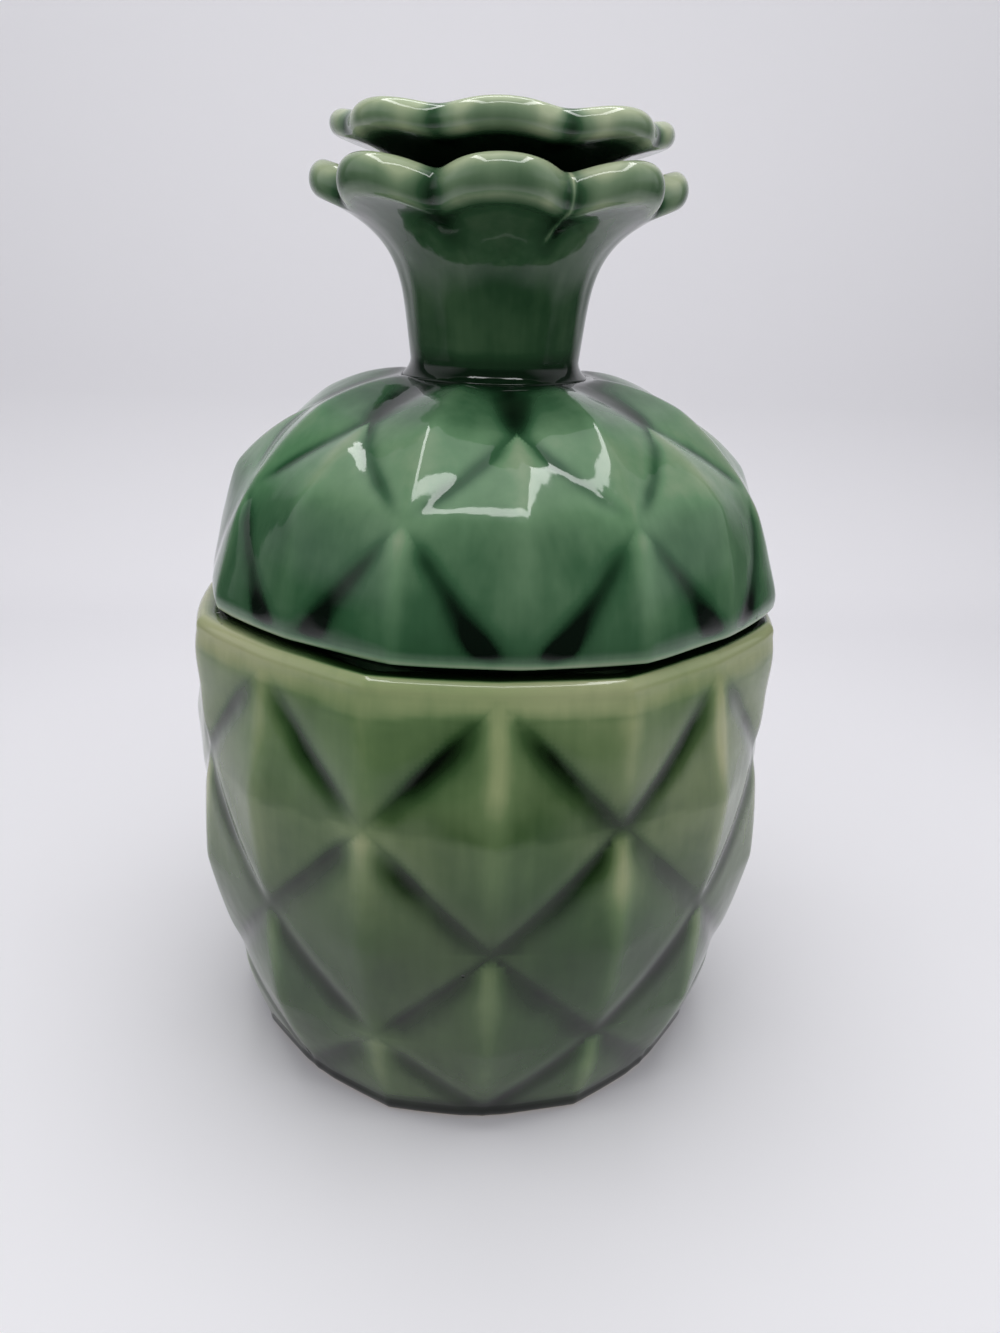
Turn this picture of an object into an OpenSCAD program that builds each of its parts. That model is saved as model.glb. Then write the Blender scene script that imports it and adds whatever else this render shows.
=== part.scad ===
// Pineapple jar of green-glazed earthenware: an octagonal jar covered with folded diamonds,
// and a lift-off domed lid whose handle is a flared neck with two scalloped leaf tiers.
// Millimetres, +Z up, origin in the middle of the foot, a flat side of the rim faces -Y.

/* [Jar] */
// Distance across two flat sides of the rim
rim_flats = 155.4; // [130:0.2:180]
// Height of the jar alone, from the table to the rim
jar_height = 133; // [110:1:150]
// How much the belly stands out past the rim, on the radius
belly_swell = 3.5; // [1:0.1:6]
// How far the foot draws in under the belly, on the radius
foot_tuck = 15.4; // [8:0.2:20]
// Width of the flat rim that the lid rests on, rounded edge included
rim_width = 9.5; // [8.5:0.5:12]
// Thickness of the wall under the bottom of a groove
jar_wall = 6; // [4.5:0.5:8]
// Thickness of the floor above the recess
floor_thickness = 7; // [5:0.5:10]
// Depth of the recess that leaves a ring-shaped foot
recess_depth = 2; // [1:0.5:3]

/* [Diamonds] */
// Columns of facets in half a diamond
facets = 5; // [4:1:6]
// Height of a diamond's ridge over its edges
ridge_rise = 3.8; // [1:0.1:5]
// Height of the eight corners over the flat sides, at rim and foot
corner_rise = 6.4; // [3:0.1:7]
// Depth of the V-shaped grooves between diamonds
groove_depth = 0.8; // [0.4:0.1:3]
// Width of the grooves
groove_width = 9; // [7:0.5:12]
// Each row of diamonds is this much lower than the row above it
row_ratio = 0.96; // [0.86:0.005:0.98]
// Height of the lowest row, which the foot cuts off, against the top row
cut_row = 0.8; // [0.5:0.01:0.9]
// How far the crossings halfway up the lid stand out, like stars
star_rise = 1.2; // [0:0.1:2]

/* [Lid] */
// Height of the dome from its lower edge to the neck
dome_height = 55.5; // [46:0.5:62]
// Fullness of the dome: 2 is an ellipse, more is squarer
dome_power = 2.25; // [2:0.05:2.8]
// How far the lid's edge stands back from the edge of the rim
lid_setback = 1.6; // [1:0.1:3]
// Height of the lid's edge, undercut so that a dark gap shows over the rim
lid_edge = 3; // [2:0.1:4]
// Thickness of the dome under the bottom of a groove
lid_wall = 6; // [4.5:0.5:8]
// How far the flange under the lid reaches into the mouth
flange_depth = 9; // [6:0.5:14]
// Play of the flange in the mouth, on each side
flange_play = 3.6; // [3:0.1:5]
// Gap under the lid where it rests on the glazed rim
seat_gap = 0.05; // [0.02:0.01:0.3]
// Turn of the lid on the jar, as it was set down
lid_turn = 2.5; // [0:0.5:4]
// Shift of the lid to the right, as it was set down
lid_shift = 1.9; // [0:0.1:3]

/* [Crown] */
// How far left of the lid's middle the crown is set
crown_back = 1; // [0:0.1:1.2]
// Radius of the neck at its slimmest
neck_radius = 22.4; // [20:0.2:26]
// Height of the neck up to the lower tier of leaves
neck_height = 46.5; // [40:0.5:56]
// Radius over the leaf tips of the lower tier
lower_tips = 48; // [44:0.5:54]
// Radius over the leaf tips of the upper tier
upper_tips = 43; // [40:0.5:48]
// Depth of the notch between two leaves
notch_depth = 8.6; // [5:0.2:9.4]
// Thickness of the rounded leaf edges of the lower tier
lower_lip = 7.8; // [6:0.2:9]
// Height of the rounded leaf edges of the lower tier
lower_tall = 9.4; // [8:0.2:11]
// Thickness of the rounded leaf edges of the upper tier
upper_lip = 6.4; // [5:0.2:8]
// Height of the rounded leaf edges of the upper tier
upper_tall = 6.6; // [6:0.1:9]
// Height of the upper tier over the lower one, edge to edge
tier_step = 14; // [11.5:0.5:16]
// Turn of the lower tier on the jar
lower_turn = -2; // [-6:0.5:6]
// Turn of the upper tier on the jar
upper_turn = -3; // [-6:0.5:6]
// Lean of the upper tier down to the right
upper_lean = 0.3; // [0:0.1:2.5]
// Outer radius of the round foot with which the upper tier is set in the throat
stem_radius = 18.2; // [16:0.2:19]
// Room for slip round each luted joint
luting_gap = 0.3; // [0.2:0.05:0.5]

/* [Hidden] */
sides = 8;
sector = 360 / sides;
half = sector / 2;
columns = 2 * sides * facets;
crown_columns = 8 * sides;

rim_apothem = rim_flats / 2;
rim_round = 3;
rim_band = 3.9;
foot_band = 4.2;
foot_round = 2;
foot_curve = 2.1;
foot_ring = 15;
foot_corner = 0.32 * corner_rise;
top_level = jar_height - rim_band;
belly_height = 0.64 * jar_height;
mouth_apothem = rim_apothem - rim_width;
mouth_round = 10;
jar_rows = 4;
// Ridges are rounded by this part of a facet, and corners at rim and edge by more
ridge_softness = 0.14;
corner_softness = 0.45;

flange_apothem = mouth_apothem - flange_play;
flange_wall = 5;
// How far the turned flange reaches sideways, and the shift that this leaves room for
flange_reach = (flange_apothem - mouth_round) * cos(half - lid_turn) / cos(half) + mouth_round;
set_aside = min(lid_shift, max(0, mouth_apothem - flange_reach - 0.3));
lid_apothem = rim_apothem - lid_setback;
lid_seat = jar_height + seat_gap;
lid_base = lid_seat + lid_edge;
seat_radius = neck_radius + 1.6 + crown_back;

// Angles along the dome's curve: the neck's seat, then the crossings, then the edge
seat_angle = acos(pow(seat_radius / lid_apothem, dome_power / 2));
upper_angle = 0.73 * seat_angle;
star_angle = 0.385 * seat_angle;
// The fraction of a row of diamonds that is left above and below the crossings
lobe_part = 0.32;
edge_part = 0.8;
dome_rise = dome_height / pow(sin(seat_angle), 2 / dome_power);
seat_height = lid_base + dome_height;

bore_radius = stem_radius - 3;
spigot_radius = bore_radius - 1;
spigot_depth = 5;
ledge_drop = 8.5;
throat_depth = 6.5;
ledge_height = seat_height + neck_height - ledge_drop;
throat_height = ledge_height + throat_depth;
lower_notch = lower_tips - notch_depth;
upper_notch = upper_tips - 0.6 * notch_depth;
leaf_slope = 0.5;
notch_softness = 3.2;
leaf_rise = 4.8;
dish_depth = 5.9;
lower_edge = seat_height + neck_height + leaf_rise - lower_tall;
upper_edge = lower_edge + tier_step;

// A point at azimuth a (0 in front, growing to the right), radius r and height z
function polar(a, r, z) = [r * sin(a), -r * cos(a), z];

function mix(a, b, t) = a + (b - a) * t;

function wrap(i, n) = i - n * floor(i / n);

// Radius of an octagon with round corners, at azimuth a
function octagon(a, apothem, round) =
    let(b = abs(wrap(a + half, sector) - half))
    let(tangent = atan(tan(half) * (apothem - round) / apothem))
    let(c = (apothem - round) / cos(half))
    let(d = half - b)
    b <= tangent
        ? apothem / cos(b)
        : c * cos(d) + sqrt(max(0, round * round - pow(c * sin(d), 2)));

// Radius of one leaf's arc, which would reach its tip at angle 0 and its notches at half a sector
function leaf_arc(b, tip, notch) =
    let(sag = tip - notch * cos(half))
    let(arc = (pow(notch * sin(half), 2) + sag * sag) / (2 * sag))
    let(c = tip - arc)
    c * cos(b) + sqrt(max(0, arc * arc - pow(c * sin(b), 2)));

// Radius of a scalloped edge at azimuth a: leaves side by side, with the notch between two rounded out
function scallop(a, tip, notch) =
    let(b = abs(wrap(a + half, sector) - half))
    let(near = leaf_arc(b, tip, notch))
    let(next = leaf_arc(sector - b, tip, notch))
    near + notch_softness * ln(1 + exp((next - near) / notch_softness));

// The jar's curve: level k counts the rows of crossings down from the rim
function row_sum(k) =
    let(whole = min(k, jar_rows - 1))
    (1 - pow(row_ratio, whole)) / (1 - row_ratio) + cut_row * (k - whole);

function jar_z(k) = top_level - (top_level - foot_band) * row_sum(k) / row_sum(jar_rows);

function jar_r(z) =
    let(up = (z - belly_height) / (top_level - belly_height))
    let(down = (belly_height - z) / belly_height)
    rim_apothem + belly_swell - (z > belly_height ? belly_swell * up * up : foot_tuck * pow(down, foot_curve));

// The dome's curve: level 0 is the upper ring of crossings, level 1 the star-shaped one
function dome_angle(k) =
    k < 0 ? mix(upper_angle, seat_angle, -k / lobe_part)
    : k < 1 ? mix(upper_angle, star_angle, k)
    : mix(star_angle, 0, (k - 1) / edge_part);

function dome_point(angle) = [
    lid_apothem * pow(max(0, cos(angle)), 2 / dome_power),
    lid_base + dome_rise * pow(max(0, sin(angle)), 2 / dome_power)
];

function dome_normal(p) =
    let(q = [
        pow(p[0] / lid_apothem, dome_power - 1) / lid_apothem,
        pow(max(0, p[1] - lid_base) / dome_rise, dome_power - 1) / dome_rise
    ])
    q / norm(q);

// Radius and height of the surface at level k, then the direction that ridges stand out in
function curve(lid, k) = lid ? dome_point(dome_angle(k)) : [jar_r(jar_z(k)), jar_z(k)];
function outward(lid, k) = lid ? dome_normal(dome_point(dome_angle(k))) : [1, 0];

// Height of a whole ridge where its diamond is widest, at level k
function rise(lid, k) =
    lid ? (k > 1 ? corner_rise : k < 0 ? -0.25 * ridge_rise : 0.85 * ridge_rise)
    : k < 1 ? corner_rise
    : k < jar_rows ? ridge_rise : foot_corner;

// Grooves are shallow at crossings, and run out with the ridges under the rim, at the lid's edge
// and at the neck, where the ridges end in round lobes
function groove_part(lid, k) = lid ? min(1, (1 + edge_part - k) * 4, (k + lobe_part) * 8) : min(1, 3 * k);
function ridge_part(lid, k) = lid ? sqrt(max(0, 1 - pow(max(0, 1 - (k + lobe_part) / 0.2), 2))) : 1;
function softness(lid, k) =
    let(edge = lid ? (k - 1) / edge_part : 1 - k)
    mix(ridge_softness, corner_softness, max(0, edge));

// The star-shaped bump where four grooves of the lid run out, over the flat angle from its middle
function star(lid, d, k) = lid ? star_rise * exp(-pow(d / 0.3, 2) - pow((k - 1) / 0.22, 2)) : 0;

// Column i of level k. The grooves zigzag between the crossings of two levels, so a point lies
// either in the diamond that opens below a crossing or in the one that closes above the next.
function folded(lid, i, k) =
    let(n = floor(k))
    let(f = k - n)
    let(x = wrap(i - wrap(n, 2) * facets, 2 * facets))
    let(side = x <= facets ? 1 : -1)
    let(d = min(x, 2 * facets - x) / facets)
    let(opens = d <= f)
    let(width = opens ? f : 1 - f)
    let(off = opens ? d : 1 - d)
    let(crossing = i * half / facets - side * d * half)
    let(ridge_az = opens ? crossing : crossing + side * half)
    let(groove_az = crossing + side * f * half)
    let(c = curve(lid, k))
    let(out = outward(lid, k))
    let(lift = rise(lid, opens ? n + 1 : n) * width * ridge_part(lid, k))
    let(ridge = c + lift * out)
    let(t = width > 0 ? off / width : 1)
    let(gap = 0.72 * (width - off) * half * PI / 180 * c[0])
    let(depth = groove_depth * groove_part(lid, k) * (0.5 + 0.5 * sin(180 * f)))
    let(dip = depth * max(0, 1 - 2 * gap / groove_width))
    let(soft = softness(lid, k))
    let(blunt = lift * (sqrt(t * t + soft * soft) - t))
    let(bump = star(lid, n == 1 ? d : 1 - d, k))
    let(p = mix(polar(ridge_az, ridge[0], ridge[1]), polar(groove_az, c[0], c[1]), t))
    let(a = atan2(p[0], -p[1]))
    p + (bump - blunt - dip) * polar(a, out[0], out[1]);

function folded_ring(lid, k) = [for (i = [0:columns - 1]) folded(lid, i, k)];

// A ring drawn in towards the axis by d, at height z
function drawn_in(ring, d, z) =
    [for (p = ring) let(s = 1 - d / norm([p[0], p[1]])) [p[0] * s, p[1] * s, z]];

function octagon_ring(n, apothem, round, z) =
    [for (i = [0:n - 1]) polar(360 * i / n, octagon(360 * i / n, apothem, round), z)];

function circle_ring(n, r, z) = [for (i = [0:n - 1]) polar(360 * i / n, r, z)];

// Levels from one value down to another in n steps
function levels(from, to, n) = [for (j = [0:n]) mix(from, to, j / n)];

// A closed skin over rings that are listed from the outside top downward and back up the inside.
// Each patch is split along the groove that crosses it, which depends on its column and its row
// of diamonds. The ends are closed with a fan each, or joined to each other where it is a tube.
module skin(rings, rows = [], tube = false) {
    n = len(rings[0]);
    m = len(rings);
    ends = m * n;
    function row(j) = len(rows) > j ? rows[j] : 0;
    function falls(i, j) = wrap(floor(i / facets) + row(j), 2) == 0;
    function middle(ring) = [0, 0, 1] * ring[0][2];
    patches = [for (j = [0:tube ? m - 1 : m - 2]) for (i = [0:n - 1]) for (s = [0, 1])
        let(h = wrap(i + 1, n))
        let(k = wrap(j + 1, m))
        let(a = j * n + i)
        let(b = j * n + h)
        let(c = k * n + h)
        let(d = k * n + i)
        falls(i, j) ? (s == 0 ? [a, b, c] : [a, c, d]) : (s == 0 ? [a, b, d] : [b, c, d])];
    first = [for (i = [0:n - 1]) [ends, wrap(i + 1, n), i]];
    last = [for (i = [0:n - 1]) [ends + 1, (m - 1) * n + i, (m - 1) * n + wrap(i + 1, n)]];
    polyhedron(
        points = concat([for (r = rings) each r], tube ? [] : [middle(rings[0]), middle(rings[m - 1])]),
        faces = tube ? patches : concat(first, patches, last)
    );
}

// The jar in one skin: the hollow from its floor up to the mouth, over the rim and down to the foot
module jar_body() color("olivedrab") {
    inside = floor_thickness + recess_depth;
    throat = jar_height - flange_depth - 4;
    bottom = jar_z(3.3);
    bottom_r = jar_r(bottom) - groove_depth - jar_wall - 2;
    top = folded_ring(false, 0);
    foot = folded_ring(false, jar_rows);
    recess = jar_r(foot_band) - foot_ring;
    hollow = concat(
        [for (a = [90:-45:0])
            circle_ring(columns, bottom_r - 8 * (1 - cos(a)), mix(bottom, inside, sin(a)))],
        [for (k = [2.6, 1.8, 1]) circle_ring(columns, jar_r(jar_z(k)) - groove_depth - jar_wall, jar_z(k))],
        [for (z = [throat, jar_height]) octagon_ring(columns, mouth_apothem, mouth_round, z)]
    );
    body = levels(0, jar_rows, jar_rows * facets);
    edge = [for (a = [90:-30:30])
        drawn_in(top, rim_round * (1 - cos(a)), jar_height - rim_round * (1 - sin(a)))];
    heel = [for (a = [30:30:90]) drawn_in(foot, foot_round * (1 - cos(a)), foot_band * (1 - sin(a)))];
    under = [circle_ring(columns, recess + 1, 0), circle_ring(columns, recess - 1, recess_depth)];
    skin(
        concat(hollow, edge, [for (k = body) folded_ring(false, k)], heel, under),
        concat([for (r = concat(hollow, edge)) 0], [for (k = body) floor(k + 0.001)])
    );
}

module on_jar() translate([set_aside, 0, 0]) children();
module on_lid() on_jar() translate([-crown_back, 0, 0]) children();

// The lid in one skin: the dome from the neck's seat to its edge, the flange, and the hollow up to
// the hole for the neck's spigot
module lid_dome() color("seagreen") on_jar() rotate([0, 0, lid_turn]) {
    lobes = [for (k = [lobe_part, 0.26, 0.2, 0.1]) -k];
    star = levels(0, 1, facets);
    skirt = concat([for (k = [0.2, 0.4, 0.6]) 1 + k], [1 + edge_part]);
    body = concat(lobes, star, skirt);
    rim = folded_ring(true, 1 + edge_part);
    edge = [for (q = [[0.07, 0.13], [0.25, 0.21], [1.35, 1]])
        drawn_in(rim, q[0] * lid_edge, lid_base - q[1] * lid_edge)];
    tip = lid_seat - flange_depth;
    flange = concat(
        [for (z = [lid_seat, tip + 1]) octagon_ring(columns, flange_apothem, mouth_round, z)],
        [octagon_ring(columns, flange_apothem - 1, mouth_round, tip)],
        [for (z = [tip, lid_seat + 2]) octagon_ring(columns, flange_apothem - flange_wall, mouth_round, z)]
    );
    shell = [for (a = [star_angle, 0.5 * (star_angle + upper_angle), 1.1 * upper_angle])
        let(p = dome_point(a)) p - (lid_wall + groove_depth) * dome_normal(p)];
    bore = circle_ring(columns, spigot_radius + luting_gap, seat_height);
    hole = [for (p = bore) p - [crown_back, 0, 0]];
    skin(
        concat(
            [for (k = body) folded_ring(true, k)],
            edge,
            flange,
            [for (p = shell) circle_ring(columns, p[0], p[1])],
            [[for (p = hole) p - [0, 0, lid_wall + 2]]],
            [hole]
        ),
        [for (k = body) floor(k + 0.001)],
        tube = true
    );
}

// One ring round a scalloped tier: s runs along the underside from 0 at the neck to 1 at the leaf edge
function leaf_ring(s, tip, notch, lip, root, from, edge, bend) = [
    for (i = [0:crown_columns - 1])
        let(a = 360 * i / crown_columns)
        let(r = scallop(a, tip, notch) - lip / 2)
        let(z = edge + leaf_slope * (r + lip / 2 - tip))
        polar(a, mix(root, r, (1 - bend) * s + bend * pow(s, 5)), mix(from, z, s))
];

// One ring round the rounded leaf edge: angle -90 is its underside, 90 its top
function lip_ring(angle, tip, notch, lip, tall, edge) = [
    for (i = [0:crown_columns - 1])
        let(a = 360 * i / crown_columns)
        let(r = scallop(a, tip, notch) - lip / 2)
        let(z = edge + leaf_slope * (r + lip / 2 - tip) + tall / 2)
        polar(a, r + lip / 2 * cos(angle), z + tall / 2 * sin(angle))
];

module crown_neck() color("darkgreen") on_lid() rotate([0, 0, lower_turn]) {
    n = crown_columns;
    slim = seat_height + 4;
    skin(tube = true, rings = concat(
        [for (a = [100:-40:-60]) lip_ring(a, lower_tips, lower_notch, lower_lip, lower_tall, lower_edge)],
        [for (s = [0.93, 0.84, 0.73, 0.6, 0.4, 0.2, 0])
            leaf_ring(s, lower_tips, lower_notch, lower_lip, neck_radius, slim, lower_edge, 0.8)],
        [circle_ring(n, neck_radius + 0.5, seat_height + 1.6)],
        [circle_ring(n, neck_radius + 1.4, seat_height)],
        [circle_ring(n, spigot_radius, seat_height)],
        [circle_ring(n, spigot_radius, seat_height - spigot_depth)],
        [circle_ring(n, spigot_radius - 3.5, seat_height - spigot_depth)],
        [circle_ring(n, spigot_radius - 3.5, seat_height + 4)],
        [circle_ring(n, bore_radius, seat_height + 8)],
        [circle_ring(n, bore_radius, ledge_height)],
        [circle_ring(n, stem_radius + luting_gap, ledge_height)],
        [circle_ring(n, stem_radius + luting_gap, throat_height)],
        [circle_ring(n, mix(stem_radius, lower_notch, 0.45), throat_height + 1.5)]
    ));
}

// The upper tier sits off upright: its leaves sag to the right
function leaning(ring, part) =
    [for (p = ring) [p[0] + part * 0.4, p[1], p[2] - part * tan(upper_lean) * p[0]]];

module crown_top() color("green") on_lid() {
    turned = function (ring) [for (p = ring) [
        p[0] * cos(upper_turn) - p[1] * sin(upper_turn),
        p[0] * sin(upper_turn) + p[1] * cos(upper_turn),
        p[2]
    ]];
    n = crown_columns;
    dish = upper_edge + upper_tall - dish_depth;
    skin(concat(
        [for (q = [[0.15, -1.5], [0.45, -0.8], [0.75, 1.2]])
            leaning(circle_ring(n, q[0] * upper_notch, dish + q[1]), 1)],
        [for (a = [110:-40:-50])
            leaning(turned(lip_ring(a, upper_tips, upper_notch, upper_lip, upper_tall, upper_edge)), 1)],
        [for (s = [0.85, 0.6, 0.3])
            leaning(turned(leaf_ring(s, upper_tips, upper_notch, upper_lip, stem_radius,
                throat_height + 1, upper_edge, 0.3)), s)],
        [circle_ring(n, stem_radius, throat_height + 1)],
        [circle_ring(n, stem_radius, ledge_height)]
    ));
}

jar_body();
lid_dome();
crown_neck();
crown_top();
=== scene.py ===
# %% [markdown]
# # A pineapple jar of green-glazed earthenware
# The object is a slip-cast kitchen jar: an eight-sided body folded into diamonds like the skin of a
# pineapple, a loose domed lid, and a handle made of a flared neck with two tiers of scalloped leaves.
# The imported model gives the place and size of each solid. This lesson lays a finer skin over each of
# them, soft where clay and glaze are soft, and paints it with glaze that pools and thins.

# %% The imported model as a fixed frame
from math import acos, atan, atan2, ceil, cos, exp, floor, hypot, log, pi, radians, sin, sqrt, tan
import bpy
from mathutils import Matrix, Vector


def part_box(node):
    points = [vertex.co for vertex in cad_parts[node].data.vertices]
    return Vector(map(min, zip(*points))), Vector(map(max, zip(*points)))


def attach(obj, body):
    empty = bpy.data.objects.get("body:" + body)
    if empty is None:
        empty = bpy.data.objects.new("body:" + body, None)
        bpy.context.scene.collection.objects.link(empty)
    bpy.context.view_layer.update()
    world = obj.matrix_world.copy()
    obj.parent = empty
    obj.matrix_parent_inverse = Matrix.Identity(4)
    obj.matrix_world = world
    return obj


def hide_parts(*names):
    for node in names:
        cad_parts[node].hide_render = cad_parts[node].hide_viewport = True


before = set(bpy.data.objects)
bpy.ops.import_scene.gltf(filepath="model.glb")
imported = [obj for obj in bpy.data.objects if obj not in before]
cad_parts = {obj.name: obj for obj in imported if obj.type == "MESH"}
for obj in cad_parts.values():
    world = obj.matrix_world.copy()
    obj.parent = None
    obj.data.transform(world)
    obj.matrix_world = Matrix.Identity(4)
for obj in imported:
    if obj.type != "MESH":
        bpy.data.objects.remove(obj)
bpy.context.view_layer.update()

from types import SimpleNamespace

import bmesh
import bpy
from mathutils import Euler, Matrix, Vector, noise

# %% [markdown]
# ## Sizes
# The heights and the place of the lid come from the frame. The other sizes are the few that a potter
# would give for the mould: the rim, the belly, the rows of diamonds, the dome and the leaves. They are
# in millimetres, because that is how pots are measured, and become metres when a vertex is placed.

# %% Sizes of the mould, in millimetres
MM = 0.001
SIDES = 8
SECTOR = 2 * pi / SIDES
HALF = SECTOR / 2


def middle_x(node):
    low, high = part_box(node)
    return (low[0] + high[0]) / 2 / MM


jar_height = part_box("jar_body")[1][2] / MM
lid_shift = middle_x("lid_dome")
lid_turn = radians(2.5)

rim_apothem, rim_width, rim_round, rim_band = 77.7, 9.5, 3.0, 3.9
mouth_apothem, mouth_round = rim_apothem - rim_width, 10.0
belly_swell, belly_height, foot_tuck, foot_curve = 3.5, 0.64 * jar_height, 15.4, 2.1
foot_band, foot_round, foot_ring, recess_depth, floor_thickness = 4.2, 2.0, 15.0, 2.0, 7.0
top_level = jar_height - rim_band
row_ratio, cut_row, jar_rows = 0.96, 0.8, 4
jar_wall = 7.2
print(f"jar {jar_height:.1f} mm tall, {2 * rim_apothem:.0f} mm across the flats,",
      f"lid set {lid_shift:.1f} mm aside")

# %% [markdown]
# ## One way to make every piece
# All four pieces were turned or cast round one axis, so each starts as a line that is spun round Z.
# The line has one vertex per row. It is spun over one of the eight sides, and that side is copied round.
# Each vertex still knows its row and its azimuth, and moves to where the row's own rule puts it: a
# circle, an octagon, a scalloped leaf or a folded lattice.
# The rule also says how thick the glaze lies there, which the material reads from an attribute.

# %% Small helpers
def mix(a, b, t):
    return a + (b - a) * t


def eased(low, high, value):
    """0 below low, 1 above high, with a smooth S between them."""
    t = min(1, max(0, (value - low) / (high - low)))
    return t * t * (3 - 2 * t)


def bell(distance, width):
    return exp(-(distance / width) ** 2)


def polar(azimuth, radius, height):
    """Azimuth 0 is the front, -Y, and it grows to the right."""
    return Vector((radius * sin(azimuth), -radius * cos(azimuth), height))


print("front of the rim at", [round(v, 1) for v in polar(0, rim_apothem, jar_height)])


# %% Spin a line of rows, then move each row to its place
def spun(rows, columns, closed=False):
    """A skin with one ring per row. A row is a function of azimuth that gives a point and a glaze depth."""
    bm = bmesh.new()
    row = bm.verts.layers.int.new("row")
    glaze = bm.verts.layers.float.new("glaze")
    line = [bm.verts.new((0, -1, -index)) for index in range(len(rows))]
    for index, vert in enumerate(line):
        vert[row] = index
    pairs = list(zip(line, line[1:])) + ([(line[-1], line[0])] if closed else [])
    edges = [bm.edges.new(pair) for pair in pairs]
    turn = {"cent": (0, 0, 0), "axis": (0, 0, 1), "dvec": (0, 0, 0)}
    bmesh.ops.spin(bm, geom=line + edges, angle=SECTOR, steps=columns // SIDES, **turn)
    one_side = bm.verts[:] + bm.edges[:] + bm.faces[:]
    bmesh.ops.spin(bm, geom=one_side, angle=2 * pi - SECTOR, steps=SIDES - 1, use_duplicate=True, **turn)
    bmesh.ops.remove_doubles(bm, verts=bm.verts[:], dist=1e-4)
    for vert in bm.verts:
        point, depth = rows[vert[row]](atan2(vert.co.x, -vert.co.y))
        vert.co = point * MM
        vert[glaze] = depth
    bmesh.ops.remove_doubles(bm, verts=bm.verts[:], dist=0.002 * MM)
    bmesh.ops.recalc_face_normals(bm, faces=bm.faces[:])
    return bm


print("rows are spun round Z, with", SIDES, "sides of", round(360 / SIDES), "degrees")


# %% Soften folds, keep grooves straight, and the two simplest rows
def softened(bm, first, last, times):
    """Rounds the folds between two rows, as slip and glaze do."""
    row = bm.verts.layers.int["row"]
    folds = [v for v in bm.verts if first <= v[row] <= last]
    for _ in range(times):
        bmesh.ops.smooth_vert(bm, verts=folds, factor=0.5,
                              use_axis_x=True, use_axis_y=True, use_axis_z=True)


def split_along_grooves(bm, first, last):
    """Splits each patch between two rows along its darker diagonal, so that a groove stays straight."""
    row, glaze = bm.verts.layers.int["row"], bm.verts.layers.float["glaze"]
    for face in [f for f in bm.faces if len(f.verts) == 4]:
        a, b, c, d = face.verts
        if first <= min(a[row], c[row]) and max(a[row], c[row]) <= last:
            dark = (a, c) if a[glaze] + c[glaze] >= b[glaze] + d[glaze] else (b, d)
            bmesh.utils.face_split(face, *dark)


def circle(radius, height, depth=0.5):
    return lambda a: (polar(a, radius, height), depth)


def octagon_radius(a, apothem, rounding):
    """Radius of an octagon with round corners at azimuth a."""
    b = abs((a + HALF) % SECTOR - HALF)
    tangent = atan(tan(HALF) * (apothem - rounding) / apothem)
    if b <= tangent:
        return apothem / cos(b)
    centre = (apothem - rounding) / cos(HALF)
    return centre * cos(HALF - b) + sqrt(max(0, rounding ** 2 - (centre * sin(HALF - b)) ** 2))


def octagon(apothem, rounding, height, depth=0.5):
    return lambda a: (polar(a, octagon_radius(a, apothem, rounding), height), depth)


print(f"mouth {2 * octagon_radius(0, mouth_apothem, mouth_round):.0f} mm across the flats",
      f"and {2 * octagon_radius(HALF, mouth_apothem, mouth_round):.0f} mm across the corners")

# %% [markdown]
# ## The folded diamonds
# Grooves zigzag round the jar and the lid and cross at set levels. A diamond opens below one crossing
# and closes above the next, with a ridge down its middle. Between ridge and groove the clay is a flat
# facet. Displacing a texture would only draw this, so the surface is folded for real: each point is
# found between the ridge and the groove beside it. Ridges are rounded and grooves are soft troughs,
# mostly filled with glaze, which pools on their lower side. Where the mould is worn, the grooves run out
# before they cross and the crossing stands out like a star.

# %% The lattice rule
ridge_rise, corner_rise, groove_width = 3.8, 6.4, 10.0
ridge_softness, corner_softness = 0.14, 0.62
star_reach, knot_reach = 7.5, 4.5  # how far a worn crossing and a sharp one spread
groove_slant = 0.72  # grooves run aslant, so the way across one is shorter than along the row


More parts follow.
